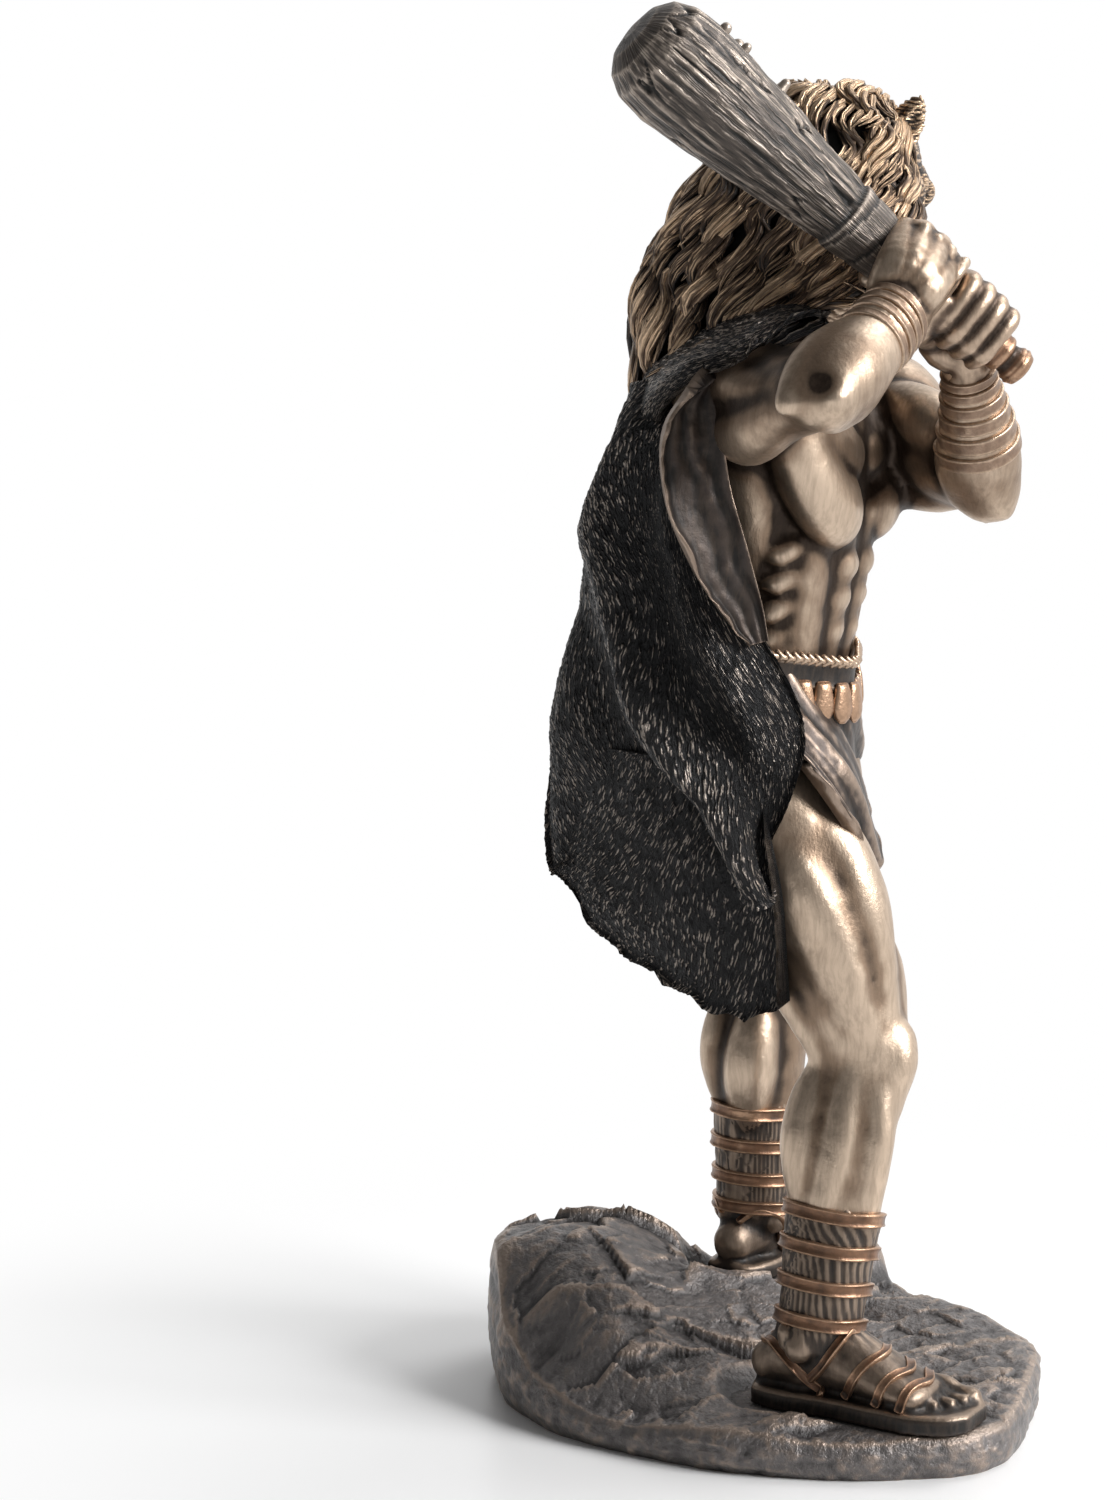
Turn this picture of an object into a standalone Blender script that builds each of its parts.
"""A statuette: a hero in a lion's pelt, swinging a club, on a rock base.

The figure faces -Y and +Z is up.  It is drawn in millimetres at a height of 300, in the
figure's own coordinates; vert() scales it to the real height and moves it so that the
origin is the middle of the rock's underside.
"""
import math

import bmesh
import bpy
import numpy as np

# main sizes in mm: the real height, then sizes as drawn
height = 300.0               # from the table to the club's tip
drawnHeight = 300.0
rockWidth = 120.0            # along X
rockDepth = 131.0            # along Y
clubLength = 110.0           # from the pommel's end to the tip
clubThick = 24.2             # across the thick end
soleThick = 2.6
strapTall = 1.35             # half the height of a leg strap
strapThick = 1.1             # how far it stands out
wristStrapThick = 0.9
footStrapSize = (1.5, 1.0)   # half width, half depth
toeSize = 1.75
beltTall = 3.3
beltEdge = 0.9
beltThick = 1.3
clothThick = 3.0
capeThick = 4.2
tongueThick = 4.5
shoulderThick = 3.2
lapelThick = 2.6
maneThick = 8.0
lockSize = 2.1               # half width of one lock of the mane
locksRound = 30
gap = 0.3                    # clearance between neighbouring castings
gripSlack = 0.25             # more of it inside the fists
seatSlack = 1.2              # room round each sole in its seat

mm = 0.001 * height / drawnHeight
up = np.array((0.0, 0.0, 1.0))
middle = np.array((13.5, 2.0, 0.0))

# the skeleton, as joint centres
joint = {name: np.array(place) for name, place in {
    "pelvis": (1.0, 1.0, 141.0), "neck": (4.0, -5.0, 229.0), "head": (8.5, -13.5, 252.0),
    "hipR": (-12.5, -5.0, 137.0), "kneeR": (-5.5, -28.0, 81.0), "ankleR": (-18.0, -25.0, 25.0),
    "hipL": (14.5, 4.0, 138.0), "kneeL": (34.0, 21.0, 84.0), "ankleL": (30.0, 22.5, 34.0),
    "shoulderR": (-26.0, -8.5, 220.0), "elbowR": (-51.0, -46.0, 225.0), "wristR": (-21.8, -45.4, 241.0),
    "shoulderL": (32.0, -4.0, 214.0), "elbowL": (18.3, -41.0, 201.5), "wristL": (2.0, -45.3, 229.0),
    "clubTip": (-54.2, -1.0, 295.0), "clubButt": (5.2, -55.7, 227.0),
    "gripR": (-13.6, -38.4, 248.5), "gripL": (-4.4, -46.9, 238.0),
}.items()}

feet = {
    "R": dict(heel=(-20.5, -11.5, 9.5), ahead=(0.14, -0.99, 0.0), outward=-1),
    "L": dict(heel=(18.5, 23.0, 19.5), ahead=(0.995, -0.04, 0.0), outward=1),
}


def unit(v):
    v = np.asarray(v, float)
    return v / np.linalg.norm(v)


def vert(bm, place):
    return bm.verts.new((np.asarray(place, float) - middle) * mm)


def smoothRows(rows, steps):
    # a Catmull-Rom curve through the rows, of places and sizes alike
    rows = np.asarray(rows, float)
    padded = np.vstack([2 * rows[0] - rows[1], rows, 2 * rows[-1] - rows[-2]])
    made = []
    for i in range(1, len(padded) - 2):
        a, b, c, d = padded[i - 1:i + 3]
        for t in np.arange(steps) / steps:
            made.append(0.5 * (2 * b + (c - a) * t + (2 * a - 5 * b + 4 * c - d) * t ** 2
                               + (3 * b - a - 3 * c + d) * t ** 3))
    made.append(rows[-1])
    return np.array(made)


def tube(bm, rows, front, steps=4, sides=16, dome=True):
    # a closed sweep: each row is x, y, z, half width, half depth (the depth lies towards front)
    path = smoothRows(rows, steps)
    centres, sizes = path[:, :3], np.maximum(path[:, 3:5], 0.25)
    along = np.gradient(centres, axis=0)
    front = np.asarray(front, float)
    rings = []

    def ring(centre, tangent, a, b):
        deep = unit(front - tangent * (front @ tangent))
        wide = np.cross(tangent, deep)
        turns = np.arange(sides) * 2 * math.pi / sides
        points = centre + a * np.outer(np.cos(turns), wide) + b * np.outer(np.sin(turns), deep)
        rings.append([vert(bm, p) for p in points])

    first, last = unit(along[0]), unit(along[-1])
    domes = (0.95, 0.75, 0.45) if dome else ()
    for share in domes:
        lean = math.sqrt(1 - share ** 2)
        ring(centres[0] - first * share * sizes[0].min(), first, *(sizes[0] * lean))
    for centre, tangent, size in zip(centres, along, sizes):
        ring(centre, unit(tangent), *size)
    for share in reversed(domes):
        lean = math.sqrt(1 - share ** 2)
        ring(centres[-1] + last * share * sizes[-1].min(), last, *(sizes[-1] * lean))
    for low, high in zip(rings, rings[1:]):
        for k in range(sides):
            bm.faces.new((low[k], low[(k + 1) % sides], high[(k + 1) % sides], high[k]))
    bm.faces.new(list(reversed(rings[0])))
    bm.faces.new(rings[-1])


def ball(bm, centre, radii, axis=(0, 0, 1), front=(0, -1, 0)):
    # an ellipsoid: half width, half depth (towards front) and half height (along axis)
    axis = unit(axis)
    a, b, c = radii
    stops = np.radians((-75, -55, -35, -12, 12, 35, 55, 75))
    rows = []
    for s in stops:
        rows.append((*(np.asarray(centre) + axis * c * math.sin(s)), a * math.cos(s), b * math.cos(s)))
    tube(bm, rows, front, steps=1, dome=False)


class Bone:
    # a limb's own frame: t runs 0 to 1 from start to end, then sideways and to the front in mm
    def __init__(self, start, end, front, outward):
        self.start = np.asarray(start, float)
        self.line = np.asarray(end, float) - self.start
        tangent = unit(self.line)
        front = np.asarray(front, float)
        self.front = unit(front - tangent * (front @ tangent))
        side = np.cross(tangent, self.front)
        self.side = side if side @ np.asarray(outward, float) > 0 else -side

    def at(self, t, side=0.0, front=0.0):
        return self.start + self.line * t + self.side * side + self.front * front

    def muscle(self, bm, rows, mirror=1, steps=4):
        placed = [(*self.at(t, side * mirror, front), a, b) for t, side, front, a, b in rows]
        tube(bm, placed, self.front, steps=steps)


def solidFrom(name, bm, voxel, relax, triangles):
    # fuses the overlapping forms into one skin, softens it and thins its faces
    bmesh.ops.recalc_face_normals(bm, faces=bm.faces)
    mesh = bpy.data.meshes.new(name)
    bm.to_mesh(mesh)
    bm.free()
    body = bpy.data.objects.new(name, mesh)
    bpy.context.scene.collection.objects.link(body)
    fuse = body.modifiers.new("fuse", "REMESH")
    fuse.mode = "VOXEL"
    fuse.voxel_size = voxel * mm
    soften = body.modifiers.new("soften", "SMOOTH")
    soften.factor = 0.5
    soften.iterations = relax
    if triangles:
        thin = body.modifiers.new("thin", "DECIMATE")
        thin.ratio = triangles
    return body


def spans(t, count):
    # Catmull-Rom picks and weights at places 0 to 1 along count rows
    s = np.clip(np.asarray(t, float), 0, 1) * (count - 1)
    low = np.minimum(s.astype(int), count - 2)
    f = s - low
    weights = 0.5 * np.stack([2 * f ** 2 - f - f ** 3, 2 - 5 * f ** 2 + 3 * f ** 3,
                              f + 4 * f ** 2 - 3 * f ** 3, f ** 3 - f ** 2], -1)
    picks = np.clip(np.stack([low - 1, low, low + 1, low + 2], -1), 0, count - 1)
    return picks, weights


class Sheet:
    # a curved surface through a grid of places: u runs along a row, v from the first row to the last
    def __init__(self, rows, outside=1):
        self.grid = np.array(rows, float)
        self.outside = outside

    def at(self, u, v):
        down, across = self.grid.shape[:2]
        pickV, weightV = spans(v, down)
        pickU, weightU = spans(u, across)
        near = self.grid[pickV[..., :, None], pickU[..., None, :]]
        return np.einsum("...a,...b,...abk->...k", weightV, weightU, near)

    def frame(self, u, v, step=0.01):
        u, v = np.clip(u, 0, 1), np.clip(v, 0, 1)
        place = self.at(u, v)
        alongU = self.at(u + step, v) - self.at(u - step, v)
        alongV = self.at(u, v + step) - self.at(u, v - step)
        normal = np.cross(alongU, alongV) * self.outside
        return place, normal / np.linalg.norm(normal, axis=-1, keepdims=True)


def shell(bm, sheet, thick, across, down, bump=None):
    # a closed plate whose outer face is the sheet; bump lifts it, thick is its depth inwards
    u, v = np.meshgrid(np.linspace(0, 1, across), np.linspace(0, 1, down))
    place, normal = sheet.frame(u, v)
    lift = bump(u, v) if bump else np.zeros_like(u)
    outer = place + normal * lift[..., None]
    inner = outer - normal * thick
    skins = [[[vert(bm, p) for p in row] for row in face] for face in (outer, inner)]
    for skin in skins:
        for a, b in zip(skin, skin[1:]):
            for k in range(across - 1):
                bm.faces.new((a[k], a[k + 1], b[k + 1], b[k]))
    rims = []
    for skin in skins:
        right = [row[-1] for row in skin[1:]]
        left = [row[0] for row in skin[-2:0:-1]]
        rims.append(skin[0] + right + skin[-1][-2::-1] + left)
    outerRim, innerRim = rims
    for k in range(len(outerRim)):
        j = (k + 1) % len(outerRim)
        bm.faces.new((outerRim[k], outerRim[j], innerRim[j], innerRim[k]))


# muscles of one leg: t, sideways, front, half width, half depth
thighMuscles = {
    "core": [(-0.10, 0, -1, 14, 15), (0.15, 0, 1, 15, 16), (0.4, 0, 2, 13.5, 14.5),
             (0.7, 0, 1.5, 10.6, 11.4), (0.92, 0, 0.5, 9.6, 10.2), (1.05, 0, -0.5, 9, 9.4)],
    "rectus": [(0.0, 1, 9, 3, 3), (0.2, 1, 13, 6.5, 5.5), (0.45, 0.5, 13.5, 7.2, 5.8),
               (0.7, 0, 10.5, 5.4, 4.6), (0.88, 0, 8.4, 3.8, 3.2)],
    "outerVastus": [(0.05, 8, 3, 3, 3), (0.3, 9.5, 5, 6, 8), (0.55, 8, 6, 6, 7.6),
                    (0.8, 6.4, 5.4, 4.4, 5), (0.93, 5.2, 4.8, 2.8, 3.2)],
    "innerVastus": [(0.4, -5, 8, 3, 3), (0.65, -6, 7.6, 5.6, 6), (0.82, -6.5, 6.3, 5, 5.4),
                    (0.95, -5.4, 5.4, 3.2, 3.4)],
    "outerHamstring": [(0.05, 4, -8.5, 5, 5), (0.35, 6, -9, 4.8, 5.3), (0.65, 6.3, -7.6, 3.8, 4.2),
                       (0.88, 6.8, -6.2, 2.4, 2.6), (1.06, 7, -4.6, 2, 2)],
    "innerHamstring": [(0.05, -3, -9.5, 5, 5), (0.4, -4, -9.5, 5, 5.2), (0.7, -5.5, -7.6, 3.8, 4.2),
                       (0.95, -6.4, -6.2, 2.2, 2.5), (1.08, -6, -4, 2, 2)],
    "adductors": [(-0.02, -8, 0, 5, 7), (0.2, -8, 0, 6, 7.5), (0.45, -6, -1, 4.6, 6), (0.7, -5, -1, 3, 4)],
    "seat": [(-0.22, 3, -6, 7, 8), (-0.05, 3, -8, 11, 10), (0.12, 3, -8, 9.5, 8.6), (0.25, 3, -8, 5, 6)],
}
shinMuscles = {
    "core": [(-0.06, 0, -0.5, 9.4, 9.6), (0.1, 0, -0.8, 9.2, 9.8), (0.35, 0, -1.4, 9.2, 10.2),
             (0.6, 0, -1.2, 8.8, 9.8), (0.85, 0, -0.5, 8.4, 8.8), (1.0, 0, 0, 7.8, 8.4)],
    "kneecap": [(-0.12, 0, 6.8, 4.6, 3.4), (-0.02, 0, 8.0, 5, 3.6), (0.06, 0, 7.2, 4, 3)],
    "kneeTendon": [(0.03, 0, 8.2, 2.8, 1.9), (0.15, 0, 8.2, 3, 2)],
    "innerCalf": [(-0.04, -4, -6, 2.5, 2.5), (0.15, -5, -8, 5.4, 5.2), (0.35, -5, -8.8, 6.4, 6),
                  (0.52, -4, -7.4, 5, 4.6), (0.64, -2.5, -6, 3, 3)],
    "outerCalf": [(-0.04, 4, -6, 2.5, 2.5), (0.14, 5, -7.8, 5.2, 5.2), (0.32, 5, -8.2, 6, 5.7),
                  (0.48, 4, -7, 4.6, 4.4), (0.6, 2.5, -6, 2.6, 2.8)],
    "heelCord": [(0.5, 0, -7, 5.4, 4), (0.75, 0, -5.6, 4.4, 3.4), (1.02, 0, -6.4, 3, 2.8)],
    "shinMuscle": [(0.02, 3.5, 5.4, 2.8, 2.8), (0.25, 3, 6.4, 4.2, 4.2), (0.5, 2, 6, 3.8, 3.8),
                   (0.66, 1, 5.6, 3, 3)],
    "outerShin": [(0.03, 7.2, 0, 2.7, 3), (0.3, 8, 0, 3.2, 4), (0.56, 7, -1, 2.8, 3.2)],
    "outerAnkle": [(0.98, 6.4, -1, 2.2, 2.4), (1.06, 6.6, -1, 2.6, 2.8)],
    "innerAnkle": [(0.96, -6.2, 0, 2.2, 2.4), (1.03, -6.6, 0, 2.6, 2.8)],
}
upperArmMuscles = {
    "core": [(-0.12, 0, 0, 10, 10), (0.15, 0, 0, 10, 11), (0.5, 0, 0, 8.8, 10), (0.85, 0, 0, 7.4, 8),
             (1.03, 0, 0, 6.8, 7)],
    "deltoid": [(-0.22, 0.5, 0, 10, 10), (0.0, 2, 0, 13, 12.5), (0.25, 3, 0, 10.8, 10.6),
                (0.52, 4, 0, 4.4, 5)],
    "biceps": [(0.1, 0, 4, 3.5, 3.5), (0.35, 0, 7, 6.5, 6.2), (0.6, 0, 7.4, 7, 6.6), (0.85, 0, 5, 4, 4),
               (1.0, 0, 4, 2, 2)],
    "triceps": [(0.05, -2, -6, 4, 4), (0.3, -2.5, -8, 6.8, 6.4), (0.55, -1.5, -8, 6.4, 6.2),
                (0.8, 0, -6, 4, 3.7), (1.02, 0, -5.2, 3, 2.8)],
    "outerTriceps": [(0.12, 5, -4, 3, 3), (0.35, 6.2, -4.6, 4.2, 4.8), (0.62, 5, -4.4, 3, 3.4)],
}
foreArmMuscles = {
    "core": [(-0.06, 0, 0, 7, 7), (0.2, 0, 0, 8.6, 8.2), (0.5, 0, 0, 7.6, 7.2), (0.85, 0, 0, 5.8, 5.2),
             (1.05, 0, 0, 5.4, 4.8)],
    "outerGrip": [(-0.25, 4, 3, 3, 3), (0.05, 5, 3, 5, 5), (0.3, 4.8, 2.5, 5, 5.3), (0.6, 3.4, 2, 3.4, 3.4),
                  (0.85, 2, 1, 2, 2)],
    "innerGrip": [(-0.05, -4.8, 2, 3.2, 3.2), (0.2, -5, 2, 4.8, 5.2), (0.5, -4, 1.5, 3.9, 3.9),
                  (0.8, -2, 1, 2, 2)],
    "elbowRidge": [(-0.14, 0, -4.8, 3, 2.8), (0.15, 0.5, -4.5, 3.3, 3.3), (0.5, 0, -3.5, 2.8, 3),
                   (0.9, 0, -2.4, 2, 2)],
}
trunk = [(-0.12, 0, 0, 16, 12.5), (0.0, 0, -1, 21, 15), (0.12, 0, -1.5, 20.5, 14.5), (0.26, 0, -1.5, 18, 13),
         (0.4, 0, -1, 19, 14), (0.58, 0, -1, 22.5, 16.2), (0.78, 0, -1.5, 25, 17), (0.9, 0, -1, 21, 13.5),
         (1.0, 0, 0, 12, 10)]
trunkMuscles = {
    "chest": [(0.63, 5, 14, 4.5, 4), (0.64, 11, 14, 8.5, 6), (0.71, 18, 11.5, 9, 6.5),
              (0.84, 25, 7, 7, 6.5)],
    "upperChest": [(0.76, 4, 13, 5.5, 4), (0.78, 12, 12.5, 8, 5), (0.84, 21, 9, 7, 5.5)],
    "flank": [(0.9, 23, -3, 5, 7), (0.7, 23.5, -3, 4.5, 8), (0.5, 19, -3, 3.6, 7), (0.32, 15.5, -3, 3, 5)],
    "waistRoll": [(0.42, 16, 3, 3, 5), (0.3, 15.5, 3, 3.6, 6.5), (0.2, 18, 3, 3.5, 6),
                  (0.12, 19.5, 3, 2.5, 4)],
    "shoulderSlope": [(1.12, 4, -3, 5, 5), (1.0, 12, -3, 6.5, 5.5), (0.93, 22, -2, 6, 5.5)],
    "collarBone": [(0.96, 3, 9, 1.8, 1.8), (0.97, 14, 8, 1.8, 1.8), (0.95, 24, 3, 1.8, 2)],
    "belly": [(0.12, 3.5, 11, 4.5, 2.5), (0.3, 4, 10.5, 4.6, 3), (0.62, 5, 13.5, 4.8, 3)],
}
# t, sideways, front, half width, half height
absRows = [(0.51, 4.8, 14.9, 4.5, 3.6), (0.43, 4.8, 13.8, 4.4, 3.5), (0.35, 4.5, 12.8, 4.2, 3.5),
           (0.22, 4.0, 12.0, 3.9, 5.4)]
ribRows = [(0.56, 17.5, 8.5), (0.49, 17.2, 7.8), (0.42, 16.6, 7.2), (0.35, 16.0, 6.6)]
spine = Bone(joint["pelvis"], joint["neck"], (0.21, -1, 0), (1, 0.21, 0))


def makeTrunk(bm):
    spine.muscle(bm, trunk)
    for mirror in (1, -1):
        for rows in trunkMuscles.values():
            spine.muscle(bm, rows, mirror)
        for t, side, front, wide, tall in absRows:
            ball(bm, spine.at(t, side * mirror, front), (wide, 2.6, tall), spine.line)
        for t, side, front in ribRows:
            lean = unit(spine.line) * 0.5 - spine.side * mirror * 0.6 + spine.front * 0.55
            ball(bm, spine.at(t, side * mirror, front), (2.6, 2.2, 6.2), -lean, spine.side * mirror)


def makeLeg(bm, which, kneeFront, outward):
    thigh = Bone(joint["hip" + which], joint["knee" + which], kneeFront, outward)
    shin = Bone(joint["knee" + which], joint["ankle" + which], kneeFront, outward)
    for rows in thighMuscles.values():
        thigh.muscle(bm, rows)
    for rows in shinMuscles.values():
        shin.muscle(bm, rows)
    return shin


def footAxes(which):
    foot = feet[which]
    heel, ahead = np.array(foot["heel"]), unit(foot["ahead"])
    return heel, ahead, unit(np.cross(up, ahead)) * foot["outward"]


# the sole: distance from the heel, middle line, half width
soleShape = [(0, 0, 3.2), (1.6, 0, 5.8), (8, 0, 7.6), (20, 0.4, 7.6), (30, 0.4, 9.2), (39, 0.2, 10.0),
             (46, -0.6, 8.4), (49.5, -1.6, 5.2)]


def makeFoot(bm, which):
    heel, ahead, outward = footAxes(which)

    def place(along, side, high):
        return heel + ahead * along + outward * side + up * high

    upper = [(3.5, 0, 5.5, 4.6, 5), (9, 0, 7.5, 6, 7), (17, 0, 8.6, 6.4, 8.0), (25, 0, 6.8, 7.2, 6.4),
             (32, 0.2, 4.8, 8.0, 4.6), (38, 0.5, 3.4, 8.2, 3.2)]
    tube(bm, [(*place(x, y, soleThick + z), a, b) for x, y, z, a, b in upper], up)
    ankle = joint["ankle" + which]
    halfway = (ankle + place(11, 0, 8)) / 2
    tube(bm, [(*ankle, 5.4, 6.2), (*halfway, 5.6, 6.6), (*place(12, 0, 8), 5.8, 6.6)], ahead)
    instep = [(*place(14, 0, 15), 4.6, 3.5), (*place(22, 0, 12), 5.6, 3.5), (*place(30, 0, 8.4), 6, 3)]
    tube(bm, instep, up)
    for k in range(5):
        side = -5.9 + k * 2.95
        size = toeSize * 1.34 if k == 0 else toeSize - 0.1 * k
        tip = 46.0 - 0.35 * k - 0.42 * k * k
        root = place(35, side * 0.9, soleThick + 3.4)
        knuckle = place(tip - 4, side, soleThick + 3.2)
        end = place(tip, side, soleThick + 1.9)
        tube(bm, [(*root, size, size), (*knuckle, size, size), (*end, size * 1.05, size)], up)
    slab(bm, soleOutline(which, 0.0), 0, soleThick + 0.6)
    return place


def slab(bm, outline, low, high):
    # a flat plate of the outline, its points in order round it
    bottom = [vert(bm, p + up * low) for p in outline]
    top = [vert(bm, p + up * high) for p in outline]
    count = len(outline)
    for k in range(count):
        bm.faces.new((bottom[k], bottom[(k + 1) % count], top[(k + 1) % count], top[k]))
    bm.faces.new(bottom[::-1])
    bm.faces.new(top)


def makeArm(bm, which, outward):
    shoulder, elbow, wrist = (joint[n + which] for n in ("shoulder", "elbow", "wrist"))
    upper = Bone(shoulder, elbow, wrist - elbow, outward)
    lower = Bone(elbow, wrist, shoulder - elbow, outward)
    for rows in upperArmMuscles.values():
        upper.muscle(bm, rows)
    for rows in foreArmMuscles.values():
        lower.muscle(bm, rows)
    return lower


clubAxis = unit(joint["clubTip"] - joint["clubButt"])
gripRadius = 4.6


def makeFist(bm, which, turn):
    # fingers wrap round the club's axis, starting from the side where the wrist is
    centre, wrist = joint["grip" + which], joint["wrist" + which]
    palm = wrist - centre
    palm = unit(palm - clubAxis * (palm @ clubAxis))
    sweep = np.cross(clubAxis, palm) * turn

    def place(angle, radius, along):
        a = math.radians(angle)
        return centre + (palm * math.cos(a) + sweep * math.sin(a)) * radius + clubAxis * along

    tube(bm, [(*wrist, 5, 4.4), (*place(5, 9, -1), 6.2, 4.2), (*place(35, 8, 0), 7, 3.4)], palm)
    back = [(*place(a, r, 0), 2.6, 7.2) for a, r in ((0, 8.2), (30, 8.4), (60, 8.4), (88, 8.0))]
    tube(bm, back, clubAxis)
    for k in range(4):
        along = 5.4 - 3.6 * k
        size = (2.25, 2.35, 2.25, 2.0)[k]
        reach = gripRadius + size - 0.4
        bends = ((70, 1.6), (100, 1.4), (135, 0.6), (175, 1.2), (215, 0.6), (255, 0.4), (285, 0.3))
        tube(bm, [(*place(a, reach + r, along), size, size) for a, r in bends], clubAxis, steps=3, sides=10)
    thumb = [(*place(-15, 7.6, 3), 3.2, 3.2), (*place(-50, 7.6, 6), 2.8, 2.8),
             (*place(-95, 7.2, 8), 2.4, 2.4), (*place(-130, 6.9, 8.4), 2.2, 2.1)]
    tube(bm, thumb, clubAxis, steps=3, sides=10)


class HeadFrame:
    # forward, to the hero's right, and up from the middle of the head, the first two scaled
    def __init__(self, centre, look, scale=(1.0, 1.0)):
        self.centre = np.asarray(centre, float)
        self.scale = scale
        self.look = unit(look)
        self.right = np.cross(self.look, up)

    def at(self, forward, right, high):
        level = self.look * forward * self.scale[0] + self.right * right * self.scale[1]
        return self.centre + level + up * high

    def rope(self, bm, rows, front=None, steps=3, sides=10):
        placed = [(*self.at(x, y, z), a, b) for x, y, z, a, b in rows]
        tube(bm, placed, self.look if front is None else front, steps=steps, sides=sides)


headFrame = HeadFrame(joint["head"], (0.995, -0.06, 0.0))
lionFrame = HeadFrame(joint["head"], (0.995, -0.06, 0.0), (0.8, 0.88))


def makeHead(bm):
    head, neck = headFrame, joint["neck"]
    throat = [(*(neck - up * 4), 10, 10), (*(neck + up * 6), 8.6, 9), (*head.at(-2, 0, -9), 8.4, 9.5)]
    tube(bm, throat, head.look)
    ball(bm, head.at(0, 0, 4), (10.6, 12.6, 13.0), up, head.look)
    ball(bm, head.at(4.0, 0, -5), (7.8, 8.6, 9.5), up, head.look)
    head.rope(bm, [(10.2, -5.4, 4.2, 1.6, 1.6), (12.4, -2.6, 5.0, 1.7, 1.6), (12.8, 0, 4.8, 1.4, 1.4),
                   (12.4, 2.6, 5.0, 1.7, 1.6), (10.2, 5.4, 4.2, 1.6, 1.6)], up)
    nose = [(12.4, 0, 4.2, 1.3, 1.4), (14.6, 0, 1.0, 1.5, 1.6), (15.4, 0, -1.6, 1.9, 1.7),
            (13.6, 0, -2.6, 1.6, 1.4)]
    head.rope(bm, nose)
    for side in (1, -1):
        ball(bm, head.at(10.8, side * 3.5, 2.1), (1.8, 1.6, 1.4), up, head.look)
        ball(bm, head.at(13.2, side * 1.5, -2.2), (1.1, 1.2, 1.0), up, head.look)
        ball(bm, head.at(9.6, side * 4.8, -1.2), (2.8, 2.4, 2.6), up, head.look)
        head.rope(bm, [(13.2, side * 0.7, -4.3, 1.2, 1.1), (12.2, side * 3.0, -5.4, 1.2, 1.2),
                       (10.2, side * 5.0, -8.4, 1.0, 1.0)])
    ball(bm, head.at(12.0, 0, -6.9), (2.5, 1.2, 0.8), up, head.look)
    ball(bm, head.at(8.4, 0, -10.5), (6.8, 5.0, 6.6), up, head.look)
    for k in range(7):
        side = (k - 3) * 2.1
        reach = 11.6 - 0.34 * abs(k - 3) ** 2
        head.rope(bm, [(reach, side * 0.9, -7.5, 1.2, 1.2), (reach + 0.9, side, -11.5, 1.5, 1.4),
                       (reach - 0.6, side * 0.8, -15.5, 1.4, 1.2),
                       (reach - 3.0, side * 0.6, -18.0, 0.7, 0.7)])


def makeLionHead(bm):
    head = lionFrame
    head.rope(bm, [(2, 0, 18, 11.6, 9.5), (9, 0, 17.5, 10.6, 8.5), (15, 0, 15.2, 8.4, 7.2),
                   (20.5, 0, 12.2, 6.7, 5.6), (25, 0, 11.0, 5.8, 4.8)], up, steps=4, sides=20)
    ball(bm, head.at(27.6, 0, 13.6), (3.2, 2.2, 2.0), up, head.look)
    for side in (1, -1):
        ball(bm, head.at(13.6, side * 5.6, 20.6), (3.4, 3.0, 2.2), up, head.look)
        ball(bm, head.at(15.6, side * 6.0, 17.6), (2.2, 2.0, 1.8), up, head.look)
        ball(bm, head.at(23.8, side * 3.7, 9.0), (3.9, 4.6, 3.7), up, head.look)
        head.rope(bm, [(24.2, side * 4.0, 7.0, 1.5, 1.5), (24.6, side * 4.1, 2.8, 1.1, 1.1),
                       (24.0, side * 3.8, -0.8, 0.4, 0.4)])
        cheek = [(12, side * 11, 10, 4, 5), (14, side * 10.6, 2, 3.4, 4.4), (12, side * 10.4, -6, 2.6, 4)]
        head.rope(bm, cheek, up)
        ear = [(1.6, side * 11.0, 19.0, 3.6, 2.2), (3.4, side * 13.4, 24.0, 3.6, 1.6),
               (4.8, side * 15.2, 27.4, 2.2, 1.2), (5.4, side * 16.0, 28.8, 0.8, 0.7)]
        head.rope(bm, ear, head.right * side * 0.5 - head.look)


def band(bm, bone, t, side, front, wide, deep, tall, thick, tilt=0.0, turns=28):
    # a strap round a limb: its middle line is an ellipse, its section a flat oval
    along = unit(bone.line)
    rings = []
    for k in range(turns):
        a = 2 * math.pi * k / turns
        out = unit(bone.side * math.cos(a) / wide + bone.front * math.sin(a) / deep)
        spot = bone.at(t, side, front) + bone.side * wide * math.cos(a) + bone.front * deep * math.sin(a)
        spot = spot + along * tilt * math.sin(a)
        ring = [vert(bm, spot + out * thick * math.cos(b) + along * tall * math.sin(b))
                for b in np.arange(8) * math.pi / 4]
        rings.append(ring)
    for k in range(turns):
        low, high = rings[k], rings[(k + 1) % turns]
        for j in range(8):
            bm.faces.new((low[j], low[(j + 1) % 8], high[(j + 1) % 8], high[j]))


def sizeAt(rows, t):
    # side, front, half width and half depth of a muscle table at t
    table = np.array(rows, float)
    return [float(np.interp(t, table[:, 0], table[:, k])) for k in (1, 2, 3, 4)]


# how high each strap sits on the leg
legStraps = {"R": (49.5, 42.5, 35.0, 27.5), "L": (57.0, 49.5, 42.0, 35.5)}


def makeLegStraps(bm, which, shin):
    for high in legStraps[which]:
        t = (shin.start[2] - high) / -shin.line[2]
        side, front, wide, deep = sizeAt(shinMuscles["core"], t)
        band(bm, shin, t, side, front, wide + 0.8, deep + 0.8, strapTall, strapThick)


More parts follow.
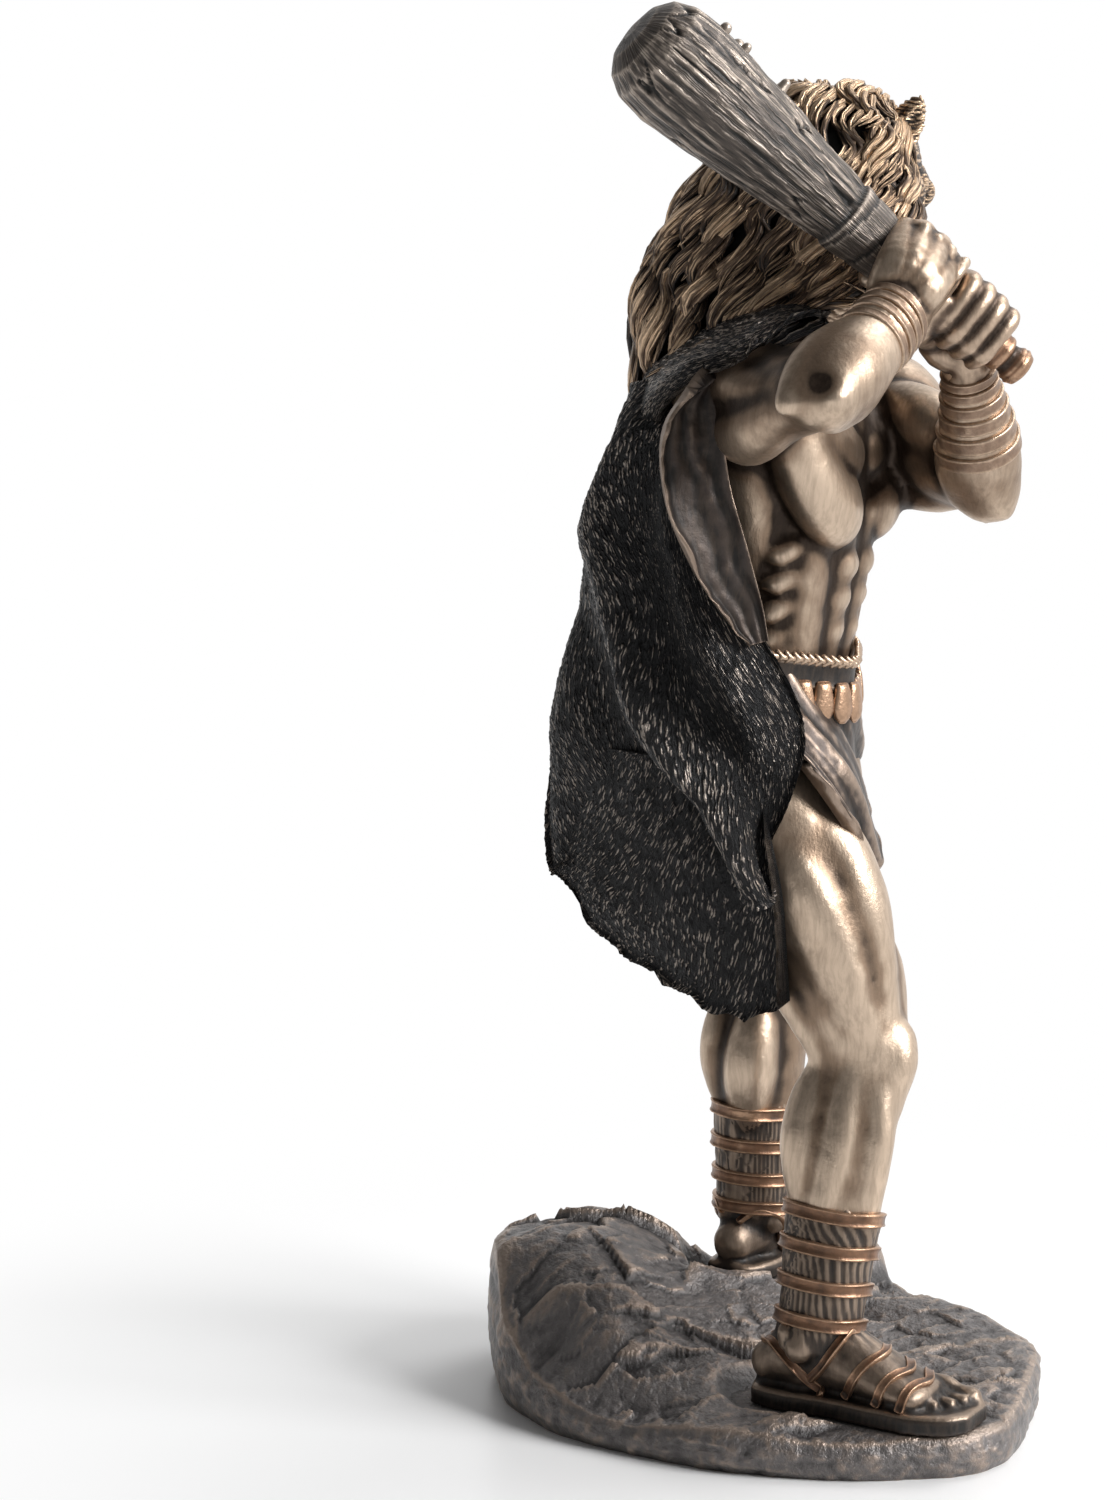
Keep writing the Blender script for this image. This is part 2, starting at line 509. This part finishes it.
def makeFootStraps(bm, place):
    # each strap crosses the foot: its place at the two sides and on top, in mm from the heel
    for outer, crest, inner, wide in ((21, 29, 20, 7.4), (29, 34, 27, 8.4), (35, 37.5, 34, 8.6)):
        rows = []
        for a in np.radians((-82, -55, -25, 0, 25, 55, 82)):
            share = math.cos(a)
            x = (outer if a < 0 else inner) * (1 - share) + crest * share
            high = np.interp(x, (17, 25, 32, 38), (17.0, 13.6, 9.8, 7.0))
            spot = place(x, wide * math.sin(a), soleThick + 1.2 + (high - 1.0) * share ** 0.8)
            rows.append((*spot, *footStrapSize))
        tube(bm, rows, up, steps=2, sides=8)
    ankleStraps = (((8, 6.4, 15.5), (13, 7.6, 9.5), (18, 7.8, soleThick)),
                   ((15, 7.8, 8.0), (20, 6.6, 12.5), (24, 3.0, 15.5), (25, 0, 16.2)))
    for side in (1, -1):
        for spots in ankleStraps:
            rows = [(*place(x, side * y, z), *footStrapSize) for x, y, z in spots]
            tube(bm, rows, up, steps=3, sides=8)


# place along the forearm, half height
wristBands = {"R": ((0.64, 1.0), (0.71, 1.0), (0.78, 1.0), (0.85, 1.0)),
              "L": ((0.34, 2.2), (0.50, 2.2), (0.65, 1.6), (0.77, 1.4), (0.88, 1.2))}


def makeWristBands(bm, which, lower):
    for t, tall in wristBands[which]:
        side, front, wide, deep = sizeAt(foreArmMuscles["core"], t)
        band(bm, lower, t, side, front, wide + 1.0, deep + 1.0, tall, wristStrapThick)


loinSheet = Sheet([
    [(-20, 4, 167), (-17, -10, 166), (-8, -15, 164), (3, -16, 162.5), (14, -10, 164), (20.5, -4, 166),
     (22, 6, 167)],
    [(-25, 3, 158), (-21, -13, 157), (-11, -19, 153), (3, -18.5, 150), (15, -11, 152), (24, -4, 155),
     (26, 8, 156)],
    [(-28, 0, 153), (-24, -18, 152), (-13, -26, 142), (2, -22, 136), (15, -13.5, 140), (26, -4, 144),
     (29, 8, 147)],
    [(-28, 0, 151), (-24, -20, 149), (-13, -29, 133), (3, -25, 120), (12, -18, 128), (27, -6, 136),
     (30, 8, 142)],
], outside=-1)


def clothLift(u, v):
    return 0.9 * np.sin(u * 16 - v * 9) + 0.5 * np.sin(u * 29 - v * 17 + 1.0)


def makeBelt(bm):
    side, front, wide, deep = sizeAt(trunk, 0.29)
    for t, out, tall, thick in ((0.28, 1.0, beltTall, beltThick), (0.315, 1.3, beltEdge, beltThick + 0.2)):
        band(bm, spine, t, 0, front, wide + out, deep + out + 0.2, tall, thick, tilt=3.0, turns=40)
    shell(bm, loinSheet, clothThick, 46, 18, clothLift)
    for turn in (42, 66, 90, 114, 138):
        a = math.radians(turn)
        spot = spine.at(0.25, (wide + 2) * math.cos(a), front + (deep + 3.2) * math.sin(a))
        spot = spot - up * 2.6 * math.sin(a)
        out = unit(spine.side * math.cos(a) + spine.front * math.sin(a))
        tube(bm, [(*(spot + up * 2.5), 1.6, 1.0), (*(spot - up * 1.5 + out * 0.4), 2.4, 1.1),
                  (*(spot - up * 4.5 + out * 0.6), 1.5, 0.9)], out, steps=2, sides=8)


# the pelt over the back: each row runs from its front right edge, round the back, to its left edge
capeSheet = Sheet([
    [(-12, -22, 240), (-20, -20, 238), (-26, -14, 235), (-29, -3, 229), (-20, 20, 220), (10, 27, 221),
     (30, 20, 221), (40, 0, 221)],
    [(-38, -17, 231), (-41, -12, 227), (-41, -5, 222), (-36, 8, 214), (-22, 28, 204), (8, 34, 205),
     (34, 26, 205), (46, 4, 205)],
    [(-42, -11, 207), (-44, -7, 204), (-44, 0, 200), (-38, 14, 195), (-23, 35, 191), (8, 38, 190),
     (34, 30, 190), (45, 6, 190)],
    [(-38, -17, 183), (-44, -11, 181), (-44, -2, 179), (-37, 14, 177), (-22, 36, 174), (8, 40, 172),
     (34, 31, 172), (42, 8, 172)],
    [(-29, -26, 158), (-41, -18, 157), (-43, -1, 155), (-33, 20, 153), (-22, 41, 150), (14, 41, 150),
     (34, 30, 150), (40, 8, 150)],
    [(-28, -24, 141), (-39, -18, 139), (-37, -2, 138), (-30, 21, 136), (-22, 42, 133), (14, 42, 133),
     (33, 31, 132), (38, 10, 130)],
    [(-26, -18, 124), (-32, -15, 119), (-29, 4, 131), (-27, 23, 126), (-22, 41, 117), (13, 41, 112),
     (31, 31, 108), (37, 12, 114)],
])
tongueSheet = Sheet([
    [(-20, 40, 146), (-31, 20.5, 146.5), (-35, 5, 147), (-34.5, -7.5, 149), (-28.5, -15.5, 150)],
    [(-22.5, 42, 130), (-30, 25, 131), (-34, 8, 130.5), (-34.5, -7, 130.5), (-30.5, -19, 131)],
    [(-24, 40.5, 118.5), (-28, 28.5, 116), (-30.5, 11.5, 110.5), (-31, -5, 111.5), (-29, -20.5, 115)],
    [(-22, 39, 115), (-24.5, 28, 107), (-24, 12.5, 98), (-22.5, -3, 92), (-23, -17.5, 93)],
], outside=-1)
lapelSheet = Sheet([
    [(-37, -17, 232), (-43, -14, 227)],
    [(-42, -15, 222), (-51, -8, 217)],
    [(-42, -17, 205), (-52, -9, 202)],
    [(-39, -20, 190), (-48, -13, 188)],
    [(-36, -21, 180), (-42, -16, 178)],
    [(-35, -22, 173), (-38, -19, 172)],
])
# the pelt's fold over the right shoulder: rows from the mane down to its hem, each from front to back
shoulderSheet = Sheet([
    [(-8.5, -17.2, 242.9), (-16.1, -10.7, 240.8), (-23.0, -5.5, 237.7), (-25.2, 1.6, 234.1),
     (-25.4, 9.3, 229.7), (-23.0, 16.7, 224.7), (-20.3, 21.8, 219.0), (-19.9, 23.1, 213.2)],
    [(-13.5, -21.3, 240.8), (-27.5, -19.8, 238.8), (-38.0, -18.3, 235.3), (-42.1, -15.1, 232.4),
     (-42.8, -8.2, 229.4), (-40.7, -0.2, 224.9), (-36.2, 7.6, 219.4), (-32.5, 11.3, 213.7)],
    [(-15.1, -23.1, 238.7), (-27.5, -22.2, 236.3), (-38.0, -22.4, 232.9), (-42.6, -20.2, 230.5),
     (-43.8, -14.1, 227.9), (-42.6, -7.8, 225.0), (-39.3, 0.0, 220.4), (-33.8, 6.4, 214.4)],
])
# the mane: each row runs from the right of the face, round the back, to the left of the face
maneSheet = Sheet([
    [(14, -17, 279), (11, -17, 282), (7, -14, 283.5), (4, -10, 284), (3, -6, 283.5), (4, -2, 283),
     (8, 0, 282), (12, -3, 281), (15, -8, 280), (17, -12, 279)],
    [(13, -22, 272), (7.5, -25, 275), (1, -24.5, 276), (-5, -17, 277), (-7, -6, 277), (-5, 5, 274),
     (2, 11, 271), (12, 9, 271), (19, 4, 270), (22, -3, 270)],
    [(11.5, -25.5, 262), (4.5, -29, 262), (-4, -27, 263), (-12, -17, 262), (-16, -2, 261), (-13, 12, 259),
     (-3, 21, 255), (12, 17, 256), (22, 9, 257), (24, -1, 261)],
    [(12, -26, 246), (3, -29.5, 250), (-10, -25, 250), (-18, -14, 246), (-22, 3, 243), (-17, 21, 241),
     (-4, 28, 237), (12, 26, 237), (25, 14, 239), (25, -1, 250)],
    [(12, -27, 224), (-2, -28, 238), (-15, -22, 239), (-25, -9, 233), (-25, 7, 225), (-18, 20, 217),
     (-4, 29, 213), (12, 29, 214), (28, 16, 222), (26, 0, 238)],
])


def foldLift(u, v):
    # the long folds of the pelt, sweeping from the shoulder to the front corner
    def rise(centre, width):
        return np.exp(-((u - centre) / width) ** 2)

    crest = np.interp(v, np.linspace(0, 1, 7), (0.54, 0.47, 0.47, 0.43, 0.31, 0.2, 0.1))
    lift = 3.4 * rise(crest, 0.045) - 2.6 * rise(crest - 0.11, 0.065) - 2.4 * rise(crest + 0.1, 0.055)
    lift = lift + 0.8 * rise(crest + 0.21, 0.06) * np.clip(1.4 - v, 0, 1)
    back = np.clip((u - 0.6) * 8, 0, 1)
    return lift * (1 - back) + back * 2.2 * np.sin(u * 34 + v * 3) * np.clip(v * 1.6, 0, 1)


def makePelt(bm):
    shell(bm, capeSheet, capeThick, 60, 50, foldLift)
    shell(bm, tongueSheet, tongueThick, 16, 20)
    shell(bm, lapelSheet, lapelThick, 8, 24)
    shell(bm, shoulderSheet, shoulderThick, 24, 8)
    # the pelt lies on the back, so the space behind it is solid
    tube(bm, [(-2, 8, 232, 22, 12), (0, 12, 210, 30, 18), (0, 16, 185, 30, 18), (0, 16, 160, 26, 18),
              (2, 16, 146, 20, 16)], (0, -1, 0))


def makeMane(bm):
    shell(bm, maneSheet, maneThick, 50, 34)
    tube(bm, [(6, -12, 268, 15, 15), (2, -6, 262, 17, 19), (-3, 4, 250, 18, 18), (-4, 12, 235, 20, 14),
              (-4, 16, 222, 20, 10)], (-1, 0, 0))
    for k in range(locksRound):
        u = (k + 0.5) / locksRound
        for low, high, shift in ((0.0, 0.5, 0.0), (0.42, 1.02, 0.5)):
            lock(bm, maneSheet, u + shift / locksRound, low, high, k * 1.9 + shift * 4, lockSize)


def lock(bm, sheet, u, low, high, phase, size, sway=0.012, lift=0.6):
    # one wavy lock that runs down the sheet from low to high
    t = np.linspace(0, 1, 9)
    across = u + sway * np.sin(t * 9 + phase)
    place, normal = sheet.frame(across, low + (high - low) * t)
    place = place + normal * (lift + 0.9 * np.sin(t * 7 + phase))[:, None]
    width = size * (0.5 + 0.6 * np.sin(np.clip(t, 0.08, 0.97) * math.pi))
    rows = [(*p, w, w * 0.9) for p, w in zip(place, width)]
    tube(bm, rows, normal[4], steps=2, sides=8)


def makeBody(bm):
    makeTrunk(bm)
    for which, front, outward in (("R", (0.15, -1, 0), (-1, 0, 0)), ("L", (0.95, -0.3, 0), (0.3, 1, 0))):
        shin = makeLeg(bm, which, front, outward)
        place = makeFoot(bm, which)
        makeLegStraps(bm, which, shin)
        makeFootStraps(bm, place)
    for which, outward in (("R", (-0.3, 0.2, 1)), ("L", (1, -0.2, 0.2))):
        lower = makeArm(bm, which, outward)
        makeWristBands(bm, which, lower)
    makeFist(bm, "R", 1)
    makeFist(bm, "L", -1)
    makeBelt(bm)
    makeHead(bm)
    makeLionHead(bm)
    makePelt(bm)
    makeMane(bm)


# the club: shares of its length from the pommel's end, and of its thickness
clubProfile = [(0.033, 0.1), (0.038, 0.149), (0.051, 0.169), (0.064, 0.153), (0.071, 0.128), (0.078, 0.128),
               (0.084, 0.161), (0.109, 0.165), (0.218, 0.174), (0.336, 0.186), (0.342, 0.24), (0.4, 0.273),
               (0.405, 0.252), (0.509, 0.306), (0.655, 0.388), (0.8, 0.471), (0.882, 0.5), (0.936, 0.479),
               (0.973, 0.397), (0.993, 0.264), (1.0, 0.107)]
# its knots: share of the length, turn round it in degrees, half width
clubKnots = [(0.873, -118, 1.6), (0.845, -88, 1.9), (0.82, -104, 1.3), (0.72, -84, 1.5)]


def makeClub(bm, grow=0.0):
    start = joint["clubButt"] - clubAxis * 5.0
    front = unit(np.cross(clubAxis, up))
    rows = []
    for share, thick in clubProfile:
        radius = thick * clubThick + grow
        rows.append((*(start + clubAxis * share * clubLength), radius, radius))
    tube(bm, rows, front, steps=1, sides=28, dome=False)
    side = np.cross(clubAxis, front)
    for share, turn, size in clubKnots:
        a = math.radians(turn)
        out = front * math.cos(a) + side * math.sin(a)
        root = start + clubAxis * share * clubLength + out * clubThick * 0.37
        knot = [(*root, size, size), (*(root + out * 4.4), size * 0.8, size * 0.8)]
        tube(bm, knot, clubAxis, steps=2, sides=8)


# the rock's outline at the ground, anticlockwise seen from above, and heights over its plan
rockOutline = [(-15, 63), (-29, 51), (-36, 43), (-43, 28), (-46, 12), (-45.5, -9), (-42, -26), (-34.5, -42),
               (-26.5, -52), (-18, -60), (-6, -63), (7, -60), (20, -55), (30, -50.5), (38, -45), (46, -33),
               (52, -20), (56, -8), (61, 2), (68, 13), (73, 24), (70, 34), (60, 42), (45, 50), (28, 58),
               (10, 66), (-5, 67)]
rockHeights = [(-31, 50, 19), (-38, 34, 12), (-41, 18, 9), (-43, 4, 7), (-22, 56, 31), (-12, 45, 34),
               (5, 42, 34), (-28, 37, 27), (-32, 20, 21), (-35, 9, 15), (-39, -3, 11), (-18, 31, 29),
               (1, 18, 21), (-7, 2, 16), (-9, 22, 24), (-5, 57, 32), (16, 48, 28), (7, 25, 26),
               (14, 11, 20), (41, -9, 15), (31, -28, 14), (12, -52, 12), (16, -19, 11.5), (42, 4, 15),
               (30, 4, 16), (50, -8, 12), (58, 6, 12), (30, 45, 19), (45, 44, 14), (60, 38, 12),
               (70, 24, 13), (-15, 10, 19), (-30, -35, 9), (-40, -20, 10), (0, -35, 10)]


def rockHeight(x, y):
    # a smooth slope through the heights, and level under each sole
    near = np.array(rockHeights, float)
    base = near[:, 2].mean()
    apart = np.hypot(near[:, None, 0] - near[:, 0], near[:, None, 1] - near[:, 1])
    pull = np.linalg.solve(np.sqrt(apart ** 2 + 16) - 1.5 * np.eye(len(near)), near[:, 2] - base)
    reach = np.hypot(x[..., None] - near[:, 0], y[..., None] - near[:, 1])
    high = (np.sqrt(reach ** 2 + 16) * pull).sum(-1) + base
    for foot in feet.values():
        heel, ahead = np.array(foot["heel"]), unit(foot["ahead"])
        along = (x - heel[0]) * ahead[0] + (y - heel[1]) * ahead[1]
        side = (x - heel[0]) * -ahead[1] + (y - heel[1]) * ahead[0]
        away = np.hypot(np.clip(along - 44, 0, None) + np.clip(4 - along, 0, None), side)
        share = np.clip((14 - away) / 5, 0, 1)
        share = share * share * (3 - 2 * share)
        high = high * (1 - share) + (heel[2] - gap) * share
    return high


def makeRock(bm, turns=120, rings=26):
    outline = smoothRows([(*p, 0) for p in rockOutline + rockOutline[:1]], 12)[:-1, :2]
    lengths = np.cumsum(np.r_[0, np.linalg.norm(np.diff(outline, axis=0, append=outline[:1]), axis=1)])
    spots = np.linspace(0, lengths[-1], turns, endpoint=False)
    loop = np.vstack([outline, outline[:1]])
    edge = np.stack([np.interp(spots, lengths, loop[:, k]) for k in (0, 1)], -1)
    drawn = edge.max(0) - edge.min(0)
    edge = middle[:2] + (edge - middle[:2]) * np.array((rockWidth, rockDepth)) / drawn
    heart = np.array((12.0, 0.0))
    layers = []
    for share in np.linspace(0.06, 0.96, rings):
        spot = heart + (edge - heart) * share
        layers.append(np.column_stack([spot, rockHeight(spot[:, 0], spot[:, 1])]))
    rim = layers[-1][:, 2]
    for drop, share in ((0.72, 0.985), (0.38, 1.0), (0.12, 0.99), (0.0, 0.975)):
        spot = heart + (edge - heart) * share
        layers.append(np.column_stack([spot, rim * drop]))
    loops = [[vert(bm, p) for p in layer] for layer in layers]
    for low, high in zip(loops, loops[1:]):
        for k in range(turns):
            bm.faces.new((low[k], low[(k + 1) % turns], high[(k + 1) % turns], high[k]))
    bm.faces.new(loops[0])
    bm.faces.new(loops[-1])


finishes = {
    # base colour, roughness, metallic
    "figure": ((0.20, 0.13, 0.08, 1.0), 0.42, 0.65),
    "club": ((0.11, 0.085, 0.07, 1.0), 0.5, 0.5),
    "rock_base": ((0.075, 0.06, 0.055, 1.0), 0.48, 0.4),
}
figureVoxel, figureShare = 1.1, 0.0255
clubVoxel, clubShare = 0.9, 0.045
rockVoxel, rockShare = 1.5, 0.046


def paint(body):
    finish = bpy.data.materials.new(body.name + "_finish")
    finish.use_nodes = True
    shader = finish.node_tree.nodes["Principled BSDF"]
    colour, roughness, metallic = finishes[body.name]
    shader.inputs["Base Color"].default_value = colour
    shader.inputs["Roughness"].default_value = roughness
    shader.inputs["Metallic"].default_value = metallic
    body.data.materials.append(finish)


def cutterFrom(name, bm):
    bmesh.ops.recalc_face_normals(bm, faces=bm.faces)
    mesh = bpy.data.meshes.new(name)
    bm.to_mesh(mesh)
    bm.free()
    cutter = bpy.data.objects.new(name, mesh)
    cutter.hide_render = True
    cutter.display_type = "WIRE"
    bpy.context.scene.collection.objects.link(cutter)
    return cutter


def cut(body, cutter):
    step = body.modifiers.new("cut " + cutter.name, "BOOLEAN")
    step.operation = "DIFFERENCE"
    step.object = cutter


def soleOutline(which, grow):
    # the sole's outline on the rock, grown outwards
    heel, ahead, outward = footAxes(which)
    left = [heel + ahead * x + outward * (y - w - grow) for x, y, w in soleShape]
    right = [heel + ahead * x + outward * (y + w + grow) for x, y, w in reversed(soleShape)]
    return left + right


def clearScene():
    for thing in list(bpy.data.objects):
        bpy.data.objects.remove(thing)


def main():
    clearScene()
    figureForm = bmesh.new()
    makeBody(figureForm)
    figure = solidFrom("figure", figureForm, figureVoxel, 2, figureShare)
    clubForm = bmesh.new()
    makeClub(clubForm)
    club = solidFrom("club", clubForm, clubVoxel, 1, clubShare)
    rockForm = bmesh.new()
    makeRock(rockForm)
    rock = solidFrom("rock_base", rockForm, rockVoxel, 1, rockShare)

    clearance = bmesh.new()
    makeClub(clearance, gap + gripSlack)
    cut(figure, cutterFrom("club clearance", clearance))
    for which in feet:
        below = bmesh.new()
        slab(below, soleOutline(which, 6.0), -8.0, 0.0)
        cut(figure, cutterFrom("under sole " + which, below))
        seat = bmesh.new()
        slab(seat, soleOutline(which, seatSlack), -gap, 12.0)
        cut(rock, cutterFrom("seat of sole " + which, seat))
    under = bmesh.new()
    corners = ((-90, -90), (110, -90), (110, 110), (-90, 110))
    slab(under, [np.array((x, y, 0.0)) for x, y in corners], -9.0, 0.0)
    cut(rock, cutterFrom("flat underside", under))
    for body in (figure, club, rock):
        paint(body)


main()
